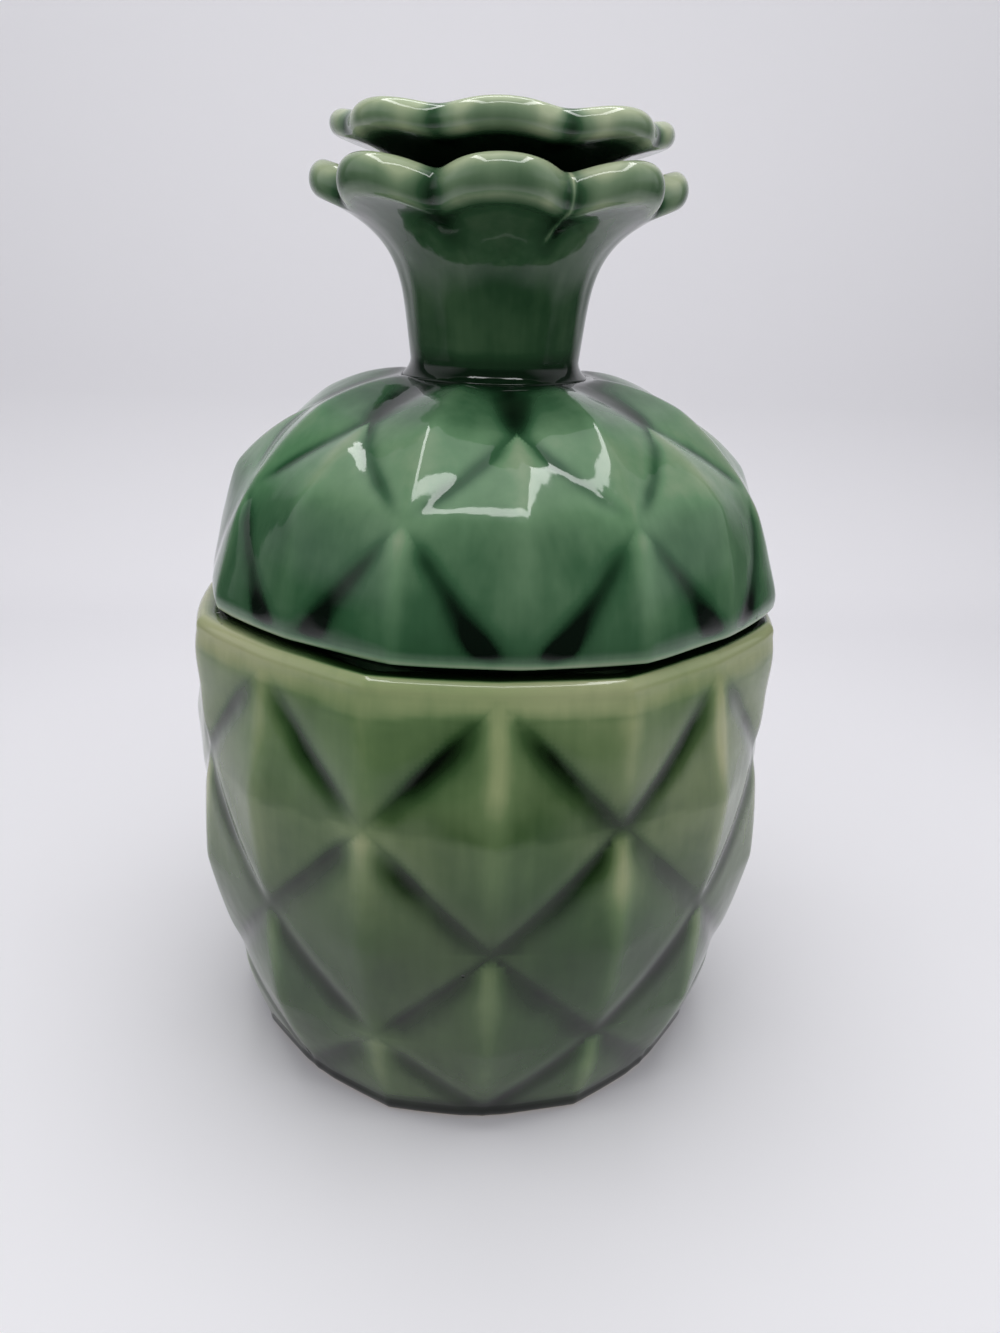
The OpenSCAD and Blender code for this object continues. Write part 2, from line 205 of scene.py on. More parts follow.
def lattice(k, curve, rise, look):
    """The row at level k. Whole levels are rows of crossings, counted down from the top one."""
    n = floor(k + 1e-9)
    f = max(0, k - n)
    radius, height, out_r, out_z = curve(k)
    chord = HALF * radius
    rise_open, rise_close = rise(n + 1), rise(n)

    def place(a):
        # d is 0 on the column of the crossing above and 1 on the next. A diamond opens where d is small.
        x = (a / HALF - n % 2) % 2
        side = 1 if x <= 1 else -1
        d = min(x, 2 - x)
        opens = d <= f
        width, off = (f, d) if opens else (1 - f, 1 - d)
        crossing = a - side * d * HALF
        ridge_a = crossing if opens else crossing + side * HALF
        groove_a = crossing + side * f * HALF
        # how far the nearest crossing is, and whether it is a worn star or a sharp knot
        upper, lower = hypot(d * chord, f * look.pitch), hypot((1 - d) * chord, (1 - f) * look.pitch)
        worn = look.worn(n, crossing) if upper < lower else look.worn(n + 1, crossing + side * HALF)
        filled = worn * bell(min(upper, lower), star_reach)
        knot = (1 - worn) * bell(min(upper, lower), knot_reach) * min(1, k)
        # the facet: t is 0 on the ridge and 1 in the groove, and the ridge is blunted
        lift = (rise_open if opens else rise_close) * width * look.ridge(k)
        t = off / width if width > 0 else 1
        gap = groove_slant * (width - off) * chord
        trough = look.groove(k) * (1 - 0.9 * filled)
        trench = max(0, 1 - (2 * gap / groove_width) ** 2) ** 2
        soft = look.soft(k)
        blunt = lift * (sqrt(t * t + soft * soft) - t * sqrt(1 + soft * soft))
        p = polar(ridge_a, radius + lift * out_r, height + lift * out_z)
        p = p.lerp(polar(groove_a, radius, height), t)
        p += (look.star * filled - look.deep * trough * trench - blunt) * polar(atan2(p.x, -p.y), out_r, out_z)
        # the glaze: pooled in the groove, thin on the crest
        uneven = 1 + 0.5 * noise.noise(p / 11)
        pool = bell(gap, look.spread(k)[0 if opens else 1]) * trough * uneven
        crest = 1 - 0.5 * eased(0.4, 1, width) if opens else 0.5 * eased(0.1, 0.7, width)
        crest *= eased(0, 0.12, width + 1 - min(1, k)) * (1 + 0.3 * noise.noise(p / 17))
        thin = bell(off * chord, look.crest_width) * crest
        pool = max(pool * (1 - 0.8 * thin), 0.8 * knot * trough)
        # painted shade: the upper half of a diamond paler and the lower half darker, fading out at the fold
        shade = (look.shade if opens else -look.shade) * (1 - width ** 3)
        depth = look.plain(k) - shade + look.pooled(k) * pool
        return p, depth - look.crest * look.bared(ridge_a) * thin - 0.16 * filled

    return place


print(f"ridges {ridge_rise} mm and corners {corner_rise} mm high, grooves {groove_width} mm wide")

# %% [markdown]
# ## Glaze
# The glaze is a clear green glass melted on the clay. Where it lies thin, on edges and ridges, the pale
# body shows through. Where it pooled, in grooves, it is nearly black. One material does this for all
# pieces: the depth from the mesh, stirred by clouds and by runs that flowed downwards, picks a colour.
# A dielectric shader with little roughness gives the glass, and a slow bump its wavy surface.

# %% One function for colours, and one to add a node
def linear(hex_colour):
    """An sRGB hex value as the linear colour that a socket takes."""
    values = [int(hex_colour[i:i + 2], 16) / 255 for i in (1, 3, 5)]
    return (*[v / 12.92 if v <= 0.04045 else ((v + 0.055) / 1.055) ** 2.4 for v in values], 1)


def add(tree, kind, inputs=None, **settings):
    """Adds a node. An input is a value, or the socket that feeds it."""
    made = tree.nodes.new(kind)
    for name, value in settings.items():
        setattr(made, name, value)
    for socket, value in (inputs or {}).items():
        if isinstance(value, bpy.types.NodeSocket):
            tree.links.new(value, made.inputs[socket])
        else:
            made.inputs[socket].default_value = value
    return made


def per(size_mm):
    """A texture scale that makes features of this size."""
    return 1 / (size_mm * MM)


bare_clay = "#C9B79A"
print("bare clay in linear light:", [round(v, 2) for v in linear(bare_clay)])


# %% Glazed earthenware: glass with a colour that follows its depth
def glazed_earthenware(name, stops, tint, stir=(0.26, 0.11)):
    """Colours from thin to pooled glaze, and the tint that large patches lean to."""
    finish = bpy.data.materials.new(name)
    finish.use_nodes = True
    tree = finish.node_tree
    shader = tree.nodes["Principled BSDF"]
    coords = add(tree, "ShaderNodeTexCoord").outputs["Object"]
    depth = add(tree, "ShaderNodeAttribute", attribute_name="glaze").outputs["Fac"]
    # clouds of 17 mm, and runs 3.6 mm wide that are drawn out downwards, stir the depth
    clouds = add(tree, "ShaderNodeTexNoise", {"Vector": coords, "Scale": per(17), "Detail": 3.0})
    flow = add(tree, "ShaderNodeMapping", {"Vector": coords, "Scale": (1.0, 1.0, 0.13)})
    runs = add(tree, "ShaderNodeTexNoise", {"Vector": flow.outputs[0], "Scale": per(3.6), "Detail": 2.0})
    start = add(tree, "ShaderNodeMath", {0: depth, 1: sum(stir) / 2}, operation="SUBTRACT")
    stirred = add(tree, "ShaderNodeMath", {0: clouds.outputs["Fac"], 1: stir[0], 2: start.outputs[0]},
                  operation="MULTIPLY_ADD")
    flowed = add(tree, "ShaderNodeMath", {0: runs.outputs["Fac"], 1: stir[1], 2: stirred.outputs[0]},
                 operation="MULTIPLY_ADD")
    ramp = add(tree, "ShaderNodeValToRGB", {"Fac": flowed.outputs[0]})
    while len(ramp.color_ramp.elements) < len(stops):
        ramp.color_ramp.elements.new(0.5)
    for element, (place, colour) in zip(ramp.color_ramp.elements, stops):
        element.position = place
        element.color = linear(colour)
    # patches of 60 mm lean to another green
    patches = add(tree, "ShaderNodeTexNoise", {"Vector": coords, "Scale": per(60), "Detail": 1.0})
    lean = add(tree, "ShaderNodeMapRange", {"Value": patches.outputs["Fac"], "From Min": 0.4, "From Max": 0.65,
                                            "To Min": 0.0, "To Max": 0.6})
    tinted = add(tree, "ShaderNodeMix", {0: lean.outputs[0], 6: ramp.outputs["Color"], 7: linear(tint)},
                 data_type="RGBA", blend_type="SOFT_LIGHT")
    # pinholes, one in about 17 mm and half a millimetre wide
    pits = add(tree, "ShaderNodeTexVoronoi", {"Vector": coords, "Scale": per(17)})
    pit = add(tree, "ShaderNodeMapRange", {"Value": pits.outputs["Distance"], "From Min": 0.015,
                                           "From Max": 0.03, "To Min": 1.0, "To Max": 0.0})
    pitted = add(tree, "ShaderNodeMix", {0: pit.outputs[0], 6: tinted.outputs[2], 7: linear(stops[-1][1])},
                 data_type="RGBA")
    # the foot ring is wiped clean before firing: bare, matt clay
    bare = add(tree, "ShaderNodeAttribute", attribute_name="bare").outputs["Fac"]
    colour = add(tree, "ShaderNodeMix", {0: bare, 6: pitted.outputs[2], 7: linear(bare_clay)}, data_type="RGBA")
    sheen = add(tree, "ShaderNodeMapRange", {"Value": clouds.outputs["Fac"], "From Min": 0.3, "From Max": 0.7,
                                             "To Min": 0.035, "To Max": 0.09})
    rough = add(tree, "ShaderNodeMix", {0: bare, 2: sheen.outputs[0], 3: 0.8}, data_type="FLOAT")
    # waves of 9 mm in the glass, which bend mirror images
    ripple = add(tree, "ShaderNodeTexNoise", {"Vector": coords, "Scale": per(9), "Detail": 1.5})
    height = add(tree, "ShaderNodeMath", {0: runs.outputs["Fac"], 1: 0.12, 2: ripple.outputs["Fac"]},
                 operation="MULTIPLY_ADD")
    dented = add(tree, "ShaderNodeMath", {0: pit.outputs[0], 1: -0.6, 2: height.outputs[0]},
                 operation="MULTIPLY_ADD")
    bump = add(tree, "ShaderNodeBump", {"Height": dented.outputs[0], "Distance": 0.22 * MM, "Strength": 0.8})
    shader.inputs["IOR"].default_value = 1.52
    tree.links.new(colour.outputs[2], shader.inputs["Base Color"])
    tree.links.new(rough.outputs[0], shader.inputs["Roughness"])
    tree.links.new(bump.outputs[0], shader.inputs["Normal"])
    print("glaze:", name)
    return finish


# %% Three greens, from thin to pooled
olive_glaze = glazed_earthenware(
    "olive_glazed_earthenware",
    [(0.0, "#A8AB84"), (0.22, "#7A8861"), (0.48, "#4A5E3A"), (0.75, "#24371B"), (1.0, "#0A1107")], "#4C8468")
sea_glaze = glazed_earthenware(
    "sea_green_glazed_earthenware",
    [(0.0, "#9AA58A"), (0.22, "#6C8B6A"), (0.48, "#3B5E41"), (0.75, "#1E3B25"), (1.0, "#08130B")], "#4C8A70")
leaf_glaze = glazed_earthenware(
    "leaf_green_glazed_earthenware",
    [(0.0, "#A5AF90"), (0.22, "#72866A"), (0.48, "#37543A"), (0.75, "#192E1D"), (1.0, "#081009")], "#4A7A5A")

# %% [markdown]
# ## A piece on its body
# A finished skin becomes an object at the origin, with its place in its mesh. It rides on the body that
# moves it, stands for the solid that it covers, and takes the finish that it is given.

# %% Set a skin down and hand it to the frame
def set_down(bm, turn, shift):
    """Turns a finished skin round its axis and moves it along X."""
    bmesh.ops.rotate(bm, verts=bm.verts[:], cent=(0, 0, 0), matrix=Matrix.Rotation(turn, 3, "Z"))
    bmesh.ops.translate(bm, verts=bm.verts[:], vec=(shift * MM, 0, 0))


def piece(bm, name, body, node, finish):
    for face in bm.faces:
        face.smooth = True
    mesh = bpy.data.meshes.new(name)
    bm.to_mesh(mesh)
    bm.free()
    mesh.materials.append(finish)
    made = bpy.data.objects.new(name, mesh)
    bpy.context.collection.objects.link(made)
    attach(made, body)
    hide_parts(node)
    triangles = sum(len(p.vertices) - 2 for p in mesh.polygons)
    print(f"{name}: {len(mesh.vertices)} vertices, {triangles} triangles")


# %% [markdown]
# ## The jar
# The jar is one casting: a round hollow that turns octagonal at the mouth, a flat rim that the lid rests
# on, four rows of crossings down the outside, and a foot with a shallow recess. Its rows run from the
# floor inside, up the wall, over the rim and down to the middle of the underside. The casting is not
# quite regular: its rim swings out a little on both sides. The rim is pale where the glaze ran off its
# outer edge. Its top and inner edge are painted dark as the shade under the lid, except on the left,
# where the lid leaves the top open to the light. The foot is near-black: glaze that ran down to it, and
# painted contact shade.

# %% Curves of the jar
def jar_level(k):
    def rows_above(level):
        whole = min(level, jar_rows - 1)
        return (1 - row_ratio ** whole) / (1 - row_ratio) + cut_row * (level - whole)
    return top_level - (top_level - foot_band) * rows_above(k) / rows_above(jar_rows)


def jar_radius(z):
    up = (z - belly_height) / (top_level - belly_height)
    down = max(0, belly_height - z) / belly_height
    return rim_apothem + belly_swell - (belly_swell * up * up if up > 0 else foot_tuck * down ** foot_curve)


def jar_curve(k):
    z = jar_level(k)
    return jar_radius(z), z, 1.0, 0.0


def jar_rise(k):
    return corner_rise if k < 1 else ridge_rise if k < jar_rows else 0.32 * corner_rise


print("crossings at heights", [round(jar_level(k), 1) for k in range(jar_rows + 1)])

# %% How the jar is folded and glazed
# A look says how a lattice is folded and glazed: the pitch of its rows, how deep a groove is and how far a
# worn crossing, the star, stands out; then the depth of the glaze on plain facets, the painted shade by
# which the upper and the lower half of a diamond differ, what pools add below and above a groove and how
# far they spread, and what the crest of a ridge lacks. On the jar, two crossings left of the front are worn.
jar_look = SimpleNamespace(
    pitch=32.0, deep=0.7, star=0.9, plain=lambda k: 0.33 + 0.25 * eased(0.8, 2.4, k), shade=0.04,
    pooled=lambda k: 0.52 - 0.17 * eased(0.8, 2.2, k), spread=lambda k: (3.6 + 1.4 * eased(0.8, 1.4, k), 1.6),
    crest=0.28, crest_width=3.2, bared=lambda a: 0.9 + 0.5 * sin(3 * a),
    groove=lambda k: min(1, 3 * k) * (0.75 + 0.25 * sin(pi * (k % 1))),
    ridge=lambda k: 1.0,
    soft=lambda k: mix(ridge_softness, corner_softness, max(0, 1 - k, 2 * k - 7)),
    worn=lambda level, a: bell((a + HALF + pi) % (2 * pi) - pi, 0.35) if level in (1, 3) else 0.0)
pale_band, rim_flare, flare_drop = 8.5, 1.7, 18


def jar_lattice(k):
    """A lattice row: a pale band under the rim, and a near-black foot of pooled glaze and painted contact
    shade.
    """
    row = lattice(k, jar_curve, jar_rise, jar_look)

    def place(a):
        p, depth = row(a)
        uneven = noise.noise(p / 28)
        band = eased(top_level - pale_band + 4 * uneven, top_level - 0.5, p.z)
        # a brush mark along the band, in places
        patchy = eased(0.1, 0.5, abs(noise.noise(p / 15)) + 0.25)
        brushed = bell(p.z - top_level + 5.5 - 2 * uneven, 0.8) * patchy
        depth += 0.1 * brushed * (1 - bell(a, 0.06))
        # painted reflection: darker just above the fold of the first diamonds, where the facets above stop
        # mirroring the pale floor that the facets below mirror; paler on the facets between them
        above = k + 0.06 * noise.noise(p / 6)
        depth += 0.07 * eased(0.7, 0.95, above) * (1 - eased(0.97, 1.03, above))
        between = abs((a / HALF + 1) % 2 - 1) - k
        depth -= 0.08 * eased(0, 0.3, between) * (1 - eased(0.5, 1, k))
        # near-black at the foot: partly glaze that ran down, partly painted contact shade where the jar meets
        # the floor
        foot = 1 - eased(foot_band - 1, foot_band + 4 + 3 * uneven, p.z)
        flare = rim_flare * eased(0.55, 0.95, abs(sin(a))) * eased(-0.35, 0.25, cos(a))
        flare *= eased(top_level - flare_drop, top_level - 3, p.z)
        return p + (0.3 * uneven + flare) * polar(a, 1, 0), mix(mix(depth, 0.03, band), 1.0, foot)

    return place


print(f"pale band {pale_band} mm deep under the rim, which swings out by {rim_flare} mm")


# %% Rows of the jar, inside and round the rim
def quarter(radius, angle):
    """How far a rounded edge has gone in and is below its top: 0 degrees is its side and 90 its top."""
    return radius * (1 - cos(radians(angle))), radius * (1 - sin(radians(angle)))


def drawn_in(row, inset, z, depth=None):
    """A row drawn in towards the axis, at height z."""
    def place(a):
        p, own = row(a)
        r = hypot(p.x, p.y)
        return Vector((p.x * (r - inset) / r, p.y * (r - inset) / r, z)), own if depth is None else depth
    return place


inside = floor_thickness + recess_depth
bottom = jar_level(3.3)
bottom_r = jar_radius(bottom) - jar_wall - 2
throat = jar_height - 13
rim_row, foot_row = jar_lattice(0), jar_lattice(jar_rows)
recess = jar_radius(foot_band) - foot_ring
mouth_edge = 2


def throat_row(t):
    """Between the round wall at t = 0 and the octagonal mouth at t = 1."""
    wall = jar_radius(jar_level(1)) - jar_wall
    z = mix(jar_level(1), throat, t)

    def place(a):
        mouth = octagon_radius(a, mouth_apothem, mouth_round)
        return polar(a, mix(wall, mouth, eased(0, 1, t)), z), 0.3
    return place


def rim_edge(angle):
    """A row round the rim's outer edge. Its top is painted dark as the shade under the lid, except on the left.
    """
    inset, below = quarter(rim_round, angle)
    row = drawn_in(rim_row, inset, jar_height - below)
    # painted shade: near-black on top of the rim where the lid overhangs it, paler on the left where it does
    # not
    return lambda a: (row(a)[0], 0.95 * eased(65, 88, angle) * (1 - 0.85 * eased(0.3, 0.85, -sin(a))))


hollow = [circle(r, inside, 0.42) for r in (0, 12, 26, 40, bottom_r - 12)]
hollow += [circle(bottom_r - 8 * (1 - cos(radians(a))), mix(bottom, inside, sin(radians(a))), 0.4)
           for a in range(90, -1, -10)]
hollow += [circle(jar_radius(jar_level(k)) - jar_wall, jar_level(k), 0.35)
           for k in (3, 2.7, 2.4, 2.1, 1.8, 1.5, 1.25)]
hollow += [throat_row(t / 6) for t in range(7)]
hollow += [octagon(mouth_apothem, mouth_round, jar_height - below, 0.25) for below in (9, 5, mouth_edge)]
rim = []
# painted shade: the inner edge of the rim, under the lid, is dark
for angle in (22, 45, 67, 90):
    inset, below = quarter(mouth_edge, angle)
    rim.append(octagon(mouth_apothem + inset, mouth_round, jar_height - below, 0.9))
rim += [rim_edge(angle) for angle in (90, 82, 75, 67, 60, 45, 30, 15, 0)]
print(len(hollow), "rows inside and", len(rim), "round the rim")

# %% Rows down to the foot, then the jar is spun and softened
jar_fineness = 28
body = [jar_lattice(k / jar_fineness) for k in range(jar_rows * jar_fineness + 1)]
# the heel is near-black: pooled glaze and painted contact shade
heel = [drawn_in(foot_row, quarter(foot_round, angle)[0], quarter(foot_band, angle)[1], 1.0)
        for angle in range(15, 91, 15)]
under = [circle(recess + 1, 0, 0.5), circle(recess - 1, recess_depth, 0.5), circle(30, recess_depth, 0.5),
         circle(0, recess_depth, 0.5)]
jar_mesh = spun(hollow + rim + body + heel + under, 2 * SIDES * jar_fineness)
first_row = len(hollow) + len(rim)
last_row = first_row + len(body) - 1
softened(jar_mesh, first_row, last_row - 2, 4)
split_along_grooves(jar_mesh, first_row, last_row)
unglazed = jar_mesh.verts.layers.float.new("bare")
for vert in jar_mesh.verts:
    vert[unglazed] = 1 if vert.co.z < 0.3 * MM else 0
piece(jar_mesh, "glazed_jar", "jar", "jar_body", olive_glaze)

# %% [markdown]
# ## The lid
# The dome is a squarish ellipse in section, folded by the same lattice: crossings near the neck, a ring
# of star-shaped ones halfway, and grooves that run out at the edge. The edge is tucked under a little,
# and swings out on both sides as the rim does. Under it a flange keeps the lid in the mouth.

# %% Curves of the lid
lid_setback, lid_edge, flange_play, flange_wall, flange_depth = 1.6, 3.0, 3.6, 5.0, 9.0
lid_apothem = rim_apothem - lid_setback
flange_apothem = mouth_apothem - flange_play
lid_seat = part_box("lid_dome")[0][2] / MM + flange_depth
lid_base = lid_seat + lid_edge
spigot_depth = 5.0
seat_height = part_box("crown_neck")[0][2] / MM + spigot_depth
dome_height, dome_power = seat_height - lid_base, 2.25
neck_radius = 22.4
crown_back = lid_shift - middle_x("crown_neck")
seat_radius = neck_radius + 1.6 + crown_back
seat_angle = acos((seat_radius / lid_apothem) ** (dome_power / 2))
upper_angle, star_angle = 0.73 * seat_angle, 0.385 * seat_angle
lobe_part, edge_part = 0.32, 0.8
dome_rise = dome_height / sin(seat_angle) ** (2 / dome_power)
lid_wall = 7.2


def dome_point(angle):
    return (lid_apothem * max(0, cos(angle)) ** (2 / dome_power),
            lid_base + dome_rise * max(0, sin(angle)) ** (2 / dome_power))


def dome_normal(radius, height):
    across = (radius / lid_apothem) ** (dome_power - 1) / lid_apothem
    along = (max(0, height - lid_base) / dome_rise) ** (dome_power - 1) / dome_rise
    return across / hypot(across, along), along / hypot(across, along)


def dome_curve(k):
    if k < 0:
        angle = mix(upper_angle, seat_angle, -k / lobe_part)
    elif k < 1:
        angle = mix(upper_angle, star_angle, k)
    else:
        angle = mix(star_angle, 0, (k - 1) / edge_part)
    point = dome_point(angle)
    return *point, *dome_normal(*point)


def dome_rise_at(k):
    return corner_rise if k > 1 else 0.85 * ridge_rise if k >= 0 else -0.25 * ridge_rise


print(f"dome {dome_height:.1f} mm high, seat of the neck at {seat_height:.1f} mm")


# %% How the lid is folded and glazed
def lobe(k):
    """Ridges end in round lobes at the neck."""
    return sqrt(1 - max(0, 1 - (k + lobe_part) / 0.2) ** 2)


lid_look = SimpleNamespace(
    pitch=29.0, deep=0.2, star=1.0, shade=0.0, pooled=lambda k: 0.34 + 0.14 * eased(1.25, 1.6, k),
    # plain: the upper facets of the dome are paler than the lobes and the lower half, partly thinner glaze and
    # partly a painted sheen of the pale ceiling that they face
    plain=lambda k: 0.48 - 0.24 * eased(-0.2, 0.2, k) + 0.21 * eased(0.7, 1.25, k),
    spread=lambda k: (1.9 + 1.6 * eased(1.3, 1.8, k), 1.8 + 1.7 * eased(1.3, 1.8, k)),
    crest=0.14, crest_width=3.0, bared=lambda a: 1.0,
    groove=lambda k: max(0, min(1, (1 + edge_part - k) * 14, (k + lobe_part) * 8)),
    ridge=lobe,
    soft=lambda k: mix(ridge_softness, corner_softness, eased(0.95, 1.35, k)),
    worn=lambda level, a: 1.0 if level == 1 else 0.0)
lid_flare, tuck_height = 2.2, 2


def lid_lattice(k):
    """A row of the dome, with glaze pooled round the neck and in the grooves' ends, and thin on the edge."""
    row = lattice(k, dome_curve, dome_rise_at, lid_look)

    def place(a):
        p, depth = row(a)
        uneven = noise.noise(p / 28)
        # pools: in the crease round the neck, between two lobes, and in the lower ends of the grooves
        crease = 1 - eased(0, 0.12, k + lobe_part)
        aside = ((a + HALF) % SECTOR - HALF) * hypot(p.x, p.y)
        wedge = bell(aside, 2.8 - 3 * min(0, k)) * (1 - eased(-0.06, 0.06, k))
        low = 1 - eased(lid_base + 2, lid_base + 12, p.z)
        # painted reflection: paler on its right side, for the pale side wall that it mirrors there
        ends = low * (0.05 + 0.36 * eased(0.6, 0.82, depth)) - 0.08 * eased(0.1, 0.7, sin(a))
        edge = 1 - eased(lid_base + 0.6, lid_base + 2.2, p.z)
        depth = mix(depth + ends, 0.95, max(crease, wedge))
        t = min(1, (p.z - lid_base) / tuck_height)
        tuck = 1 - sqrt(1 - (1 - t) ** 2)
        flare = lid_flare * eased(0.55, 0.95, abs(sin(a))) * (1 - eased(lid_base - 4, lid_base + 14, p.z))
        return p + (0.25 * uneven + flare - tuck) * polar(a, 1, 0), mix(depth, 0.03, edge)

    return place


print(f"lid edge tucked under over {tuck_height} mm, and swung out by {lid_flare} mm at the sides")

# %% Rows of the lid: dome, edge, flange and the inside
lid_fineness = 32
steps = ceil((lobe_part + 1 + edge_part) * lid_fineness)
levels = [mix(-lobe_part, 1 + edge_part, i / steps) for i in range(steps + 1)]
dome = [lid_lattice(k) for k in levels]
edge_row = lid_lattice(1 + edge_part)
lid_lip = [drawn_in(edge_row, 0.6 * (1 - cos(radians(a))), lid_base - 0.6 * sin(radians(a)), 0.12)
           for a in (20, 40, 60, 80)]
# painted shade: the tucked underside of the edge is near-black, in the gap over the rim
lid_lip += [drawn_in(edge_row, mix(0.8, 1.35 * lid_edge, t), lid_base - mix(0.65, lid_edge, t), 1.0)
            for t in (0, 0.1, 0.5, 1)]
tip = lid_seat - flange_depth
flange = [octagon(flange_apothem, mouth_round, z, 0.2) for z in (lid_seat, tip + 4, tip + 1)]
flange += [octagon(flange_apothem - 1 + cos(radians(a)), mouth_round, tip + 1 - sin(radians(a)), 0.2)
           for a in (45, 90)]
flange += [octagon(flange_apothem - flange_wall, mouth_round, z, 0.3) for z in (tip, lid_seat + 2)]
shell = []
for share in (0, 0.25, 0.5, 0.75, 1):
    radius, height = dome_point(mix(star_angle, 1.1 * upper_angle, share))
    out_r, out_z = dome_normal(radius, height)
    shell.append(circle(radius - lid_wall * out_r, height - lid_wall * out_z, 0.4))


def beside(row, shift):
    """A row moved along X."""
    return lambda a: (row(a)[0] + Vector((shift, 0, 0)), row(a)[1])


hole = 14.5
shell += [beside(circle(hole, z, 0.6), -crown_back) for z in (seat_height - 8, seat_height)]
print(len(dome), "rows on the dome and", len(lid_lip + flange + shell), "under it")

# %% The lid, spun, softened and set on the jar
lid_mesh = spun(dome + lid_lip + flange + shell, 2 * SIDES * lid_fineness, closed=True)
softened(lid_mesh, 2, len(dome) - 2, 4)
split_along_grooves(lid_mesh, 0, len(dome) - 1)
set_down(lid_mesh, lid_turn, lid_shift)
piece(lid_mesh, "glazed_lid", "lid", "lid_dome", sea_glaze)

# %% [markdown]
# ## The neck and its lower leaves
# The handle's lower half is a tube that flares into eight leaves with thick rolled edges. Each leaf is
# an arc from notch to notch. The flare follows a fifth power, straight at first and then quickly out,
# and the rolled edge is a half round set on its end. The throat holds the foot of the upper leaves.

# %% Sizes of the neck and the leaves
neck_shift = middle_x("crown_neck")
neck_height = 46.5
lower_tips, lower_lip, lower_tall, lower_turn = 48.0, 7.8, 9.4, radians(-2)
upper_tips, upper_lip, upper_tall, upper_turn = 43.0, 6.4, 6.6, radians(-3)
notch_depth, notch_softness, tier_step, upper_lean = 8.6, 3.2, 14.0, radians(0.3)
stem_radius, luting_gap, leaf_slope = 18.2, 0.3, 0.5
bore_radius = stem_radius - 3
spigot_radius = bore_radius - 1
lower_notch, upper_notch = lower_tips - notch_depth, upper_tips - 0.6 * notch_depth
ledge_drop, throat_depth, leaf_rise = 8.5, 6.5, 4.8
ledge_height = seat_height + neck_height - ledge_drop
throat_height = ledge_height + throat_depth
lower_edge = seat_height + neck_height + leaf_rise - lower_tall
upper_edge = lower_edge + tier_step
print(f"leaf edges at {lower_edge:.1f} and {upper_edge:.1f} mm")


# %% Rules for scalloped leaves
def leaf_arc(b, tip, notch):
    """Radius of one leaf's arc at an angle from its tip."""
    sag = tip - notch * cos(HALF)
    arc = ((notch * sin(HALF)) ** 2 + sag * sag) / (2 * sag)
    centre = tip - arc
    return centre * cos(b) + sqrt(max(0, arc * arc - (centre * sin(b)) ** 2))


def scallop(a, tip, notch):
    """Radius of the leaves' edge at azimuth a, with the notch between two leaves rounded out."""
    b = abs((a + HALF) % SECTOR - HALF)
    near, beyond = leaf_arc(b, tip, notch), leaf_arc(SECTOR - b, tip, notch)
    return near + notch_softness * log(1 + exp((beyond - near) / notch_softness))


def notch_near(a, radius, width):
    """1 in the notch between two leaves, 0 away from it."""
    b = abs((a + HALF) % SECTOR - HALF)
    return bell((HALF - b) * radius, width)


def leaf(s, tip, notch, lip, root, start, edge, bend, depth=0.45):
    """A row along the underside: s is 0 at the neck and 1 where the rolled edge begins."""
    def place(a):
        r = scallop(a, tip, notch) - lip / 2
        z = edge + leaf_slope * (r + lip / 2 - tip)
        p = polar(a, mix(root, r, (1 - bend) * s + bend * s ** 5), mix(start, z, s))
        pool = 0.3 * notch_near(a, r, 4) * eased(0.7, 1, s) + 0.16 * eased(0.9, 1, s)
        return p, depth + pool + 0.22 * (1 - eased(0, 0.12, s))
    return place


def rolled(angle, tip, notch, lip, tall, edge, thin):
    """A row round the rolled edge: -90 is its underside and 90 its top."""
    def place(a):
        r = scallop(a, tip, notch) - lip / 2
        z = edge + leaf_slope * (r + lip / 2 - tip) + tall / 2
        p = polar(a, r + lip / 2 * cos(radians(angle)), z + tall / 2 * sin(radians(angle)))
        b = (HALF - abs((a + HALF) % SECTOR - HALF)) * r
        # paler at the top and the underside of the roll and on its front: partly glaze thinned over the round,
        # partly painted highlight; paler also beside each notch
        pale = 0.45 * bell(angle - 70, 48) + 0.26 * bell(angle + 62, 26) + 0.12 * bell(b - 6.5, 2.5)
        pale += thin * bell(angle, 60)
        return p, 0.5 - pale * (1 + 0.4 * noise.noise(p / 7)) + 0.4 * notch_near(a, r, 2.3)
    return place


print(f"lower leaves reach {scallop(0, lower_tips, lower_notch):.1f} mm at their tips",
      f"and {scallop(HALF, lower_tips, lower_notch):.1f} mm at their notches")


# %% The mould seam, and the rows of the neck and the lower leaves
def seamed(row):
    """A thin raised seam of slip that runs down from one notch, with a pinhole in the glaze beside it."""
    def place(a):
        p, depth = row(a)
        r = hypot(p.x, p.y)
        fall = lower_edge - 2 - p.z
        turned = HALF - radians(0.36) * max(0, fall)
        seam = bell((a - turned) * r, 0.6) * (1 - eased(5, 7.5, fall)) * eased(-14, -11, fall)
        pinhole = bell(hypot((a - HALF - radians(0.7)) * r, fall - 4.3), 0.8)
        return p + 0.3 * seam * polar(a, 1, 0), depth - 0.5 * seam + 0.5 * pinhole
    return place


